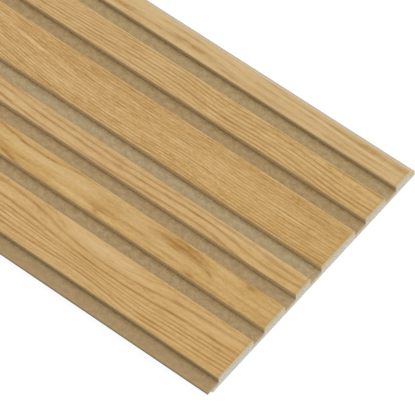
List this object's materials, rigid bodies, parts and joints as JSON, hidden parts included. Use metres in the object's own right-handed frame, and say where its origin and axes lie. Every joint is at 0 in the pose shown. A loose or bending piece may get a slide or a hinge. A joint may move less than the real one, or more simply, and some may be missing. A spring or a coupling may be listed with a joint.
{
  "type": "acoustic slat panel",
  "caption": "Flat wall panel with raised oak-look slats of mixed widths, plain grooves between them and a stepped lap joint along its long edges.",
  "frame": {"origin": "centre of the flat back, at the middle of the length and of the overall width", "axes": "+X along the length, +Y across the slats from the lip edge to the flange edge, +Z out of the slatted face"},
  "size_m": [2.7, 0.2506, 0.0105],
  "materials": {
    "panel": "satin oak-look foil on the slats, plain brown-grey foil in the grooves, pale bare core at the cut ends and on the flange"
  },
  "bodies": {
    "root": {"slat_panel": "panel"}
  },
  "joints": []
}
